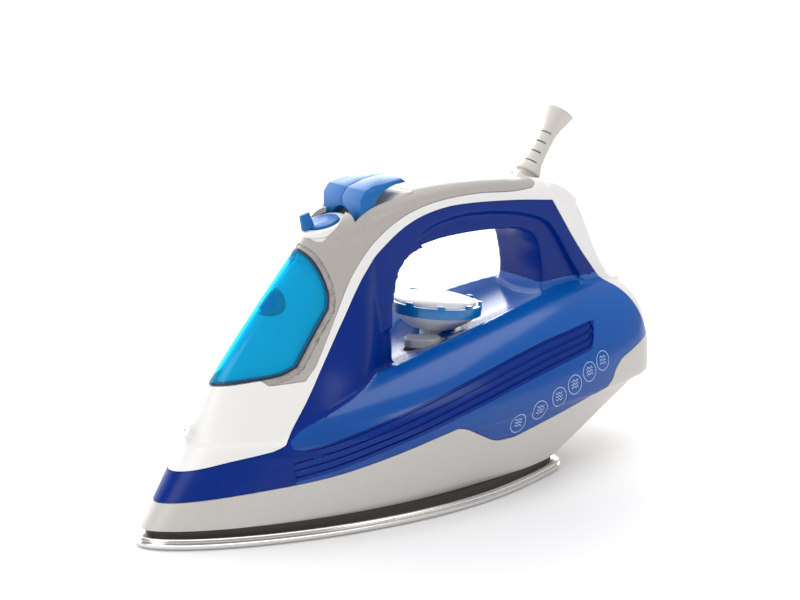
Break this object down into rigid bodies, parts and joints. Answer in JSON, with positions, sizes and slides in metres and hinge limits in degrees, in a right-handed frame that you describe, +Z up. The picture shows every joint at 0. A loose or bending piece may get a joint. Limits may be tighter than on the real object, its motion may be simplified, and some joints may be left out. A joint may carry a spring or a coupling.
{
  "type": "steam iron",
  "caption": "Steam iron with a pointed steel sole, clear-blue tank, looped handle, push buttons, steam lever, round temperature dial and a tilting cord guard.",
  "frame": {"origin": "on the ground under the middle of the iron's length, on its mirror plane", "axes": "-X towards the nose, +X towards the heel, +Z up; the sole rests on Z = 0"},
  "size_m": [0.293, 0.115, 0.1824],
  "materials": {
    "sole_steel": "brushed, with polished edges",
    "cast_aluminium": "as cast",
    "steel": "plain",
    "brass": "plain",
    "dark_rubber": "matt",
    "warm_grey_plastic": "satin",
    "royal_blue_plastic": "glossy",
    "tank_blue_plastic": "glossy, lightly see-through",
    "white_plastic": "glossy",
    "taupe_plastic": "satin",
    "lid_blue_plastic": "glossy, lightly see-through",
    "button_blue_plastic": "satin gloss",
    "dial_blue_plastic": "glossy",
    "pale_grey_plastic": "satin",
    "inner_plastic": "plain"
  },
  "bodies": {
    "iron_body": {"soleplate": "sole_steel", "sole_gasket": "dark_rubber", "sole_casting": "cast_aluminium", "heating_element": "steel", "element_terminals": "steel", "chamber_seal": "dark_rubber", "steam_chamber_cover": "cast_aluminium", "skirt": "warm_grey_plastic", "water_tank": "tank_blue_plastic", "body_shell": "royal_blue_plastic", "handle_core": "royal_blue_plastic", "nose_cover": "white_plastic", "handle_trim": "white_plastic", "grip_panel": "taupe_plastic", "rear_cover": "white_plastic", "tank_base": "inner_plastic", "rear_frame": "inner_plastic", "rear_screws": "steel", "sole_straps": "steel", "sole_screws": "steel", "inlet_tray": "inner_plastic", "lid_hinge_pin": "steel", "inlet_duct": "inner_plastic", "inlet_seal": "dark_rubber", "spray_nozzle": "white_plastic", "lever_bezel": "white_plastic", "valve_seat": "brass", "button_frame": "white_plastic", "burst_barrel": "inner_plastic", "spray_barrel": "inner_plastic", "burst_spring": "steel", "spray_spring": "steel", "dial_sleeve": "inner_plastic", "thermostat": "steel", "thermal_fuse": "steel", "self_clean_cup": "pale_grey_plastic", "self_clean_spring": "steel", "cord_socket": "pale_grey_plastic", "terminal_block": "inner_plastic", "cord_clamp": "inner_plastic", "inner_leads": "dark_rubber", "spray_hose": "dark_rubber"},
    "lid": {"water_lid": "lid_blue_plastic", "lid_plug": "inner_plastic"},
    "burst": {"burst_button": "button_blue_plastic", "burst_piston": "inner_plastic"},
    "spray": {"spray_button": "button_blue_plastic", "spray_piston": "inner_plastic"},
    "lever": {"steam_lever": "button_blue_plastic"},
    "valve": {"valve_rod": "brass"},
    "dial": {"dial_ring": "dial_blue_plastic", "dial_cap": "white_plastic", "dial_bowl": "white_plastic", "dial_shaft": "inner_plastic"},
    "self_clean": {"self_clean_button": "pale_grey_plastic", "self_clean_rod": "inner_plastic"},
    "ball": {"cord_ball": "pale_grey_plastic"},
    "guard": {"cord_guard": "pale_grey_plastic"}
  },
  "joints": [
    {"name": "lid_hinge", "type": "hinge", "parent": "iron_body", "child": "lid", "pos_m": [-0.0539, 0, 0.1251], "axis": [0, 1, 0], "range_deg": [0, 60]},
    {"name": "burst_slide", "type": "slide", "parent": "iron_body", "child": "burst", "axis": [0, 0, -1], "range_m": [0, 0.003], "stiffness_N_per_m": 400, "springref_m": -0.002, "deforming": ["burst_spring"]},
    {"name": "spray_slide", "type": "slide", "parent": "iron_body", "child": "spray", "axis": [0, 0, -1], "range_m": [0, 0.003], "stiffness_N_per_m": 400, "springref_m": -0.002, "deforming": ["spray_spring"]},
    {"name": "lever_turn", "type": "hinge", "parent": "iron_body", "child": "lever", "pos_m": [-0.042, 0, 0.138], "axis": [-0.2756, 0, 0.9613], "range_deg": [-25, 25]},
    {"name": "valve_turn", "type": "hinge", "parent": "iron_body", "child": "valve", "pos_m": [-0.0435, 0, 0.08], "axis": [0, 0, 1], "range_deg": [-25, 25]},
    {"name": "dial_turn", "type": "hinge", "parent": "iron_body", "child": "dial", "pos_m": [0.0255, 0, 0.0892], "axis": [0.1045, 0, 0.9945], "range_deg": [-150, 150]},
    {"name": "self_clean_slide", "type": "slide", "parent": "iron_body", "child": "self_clean", "axis": [0, 0, -1], "range_m": [0, 0.002], "stiffness_N_per_m": 300, "springref_m": -0.002, "deforming": ["self_clean_spring"]},
    {"name": "guard_tilt", "type": "hinge", "parent": "iron_body", "child": "ball", "pos_m": [0.08191, 0, 0.14092], "axis": [0, 1, 0], "range_deg": [-20, 20]},
    {"name": "guard_swivel", "type": "hinge", "parent": "ball", "child": "guard", "pos_m": [0.08191, 0, 0.14092], "axis": [0.5878, 0, 0.809], "range_deg": [-180, 180]}
  ],
  "couplings": [
    {"joint": "valve_turn", "follows": "lever_turn", "ratio": 1}
  ]
}
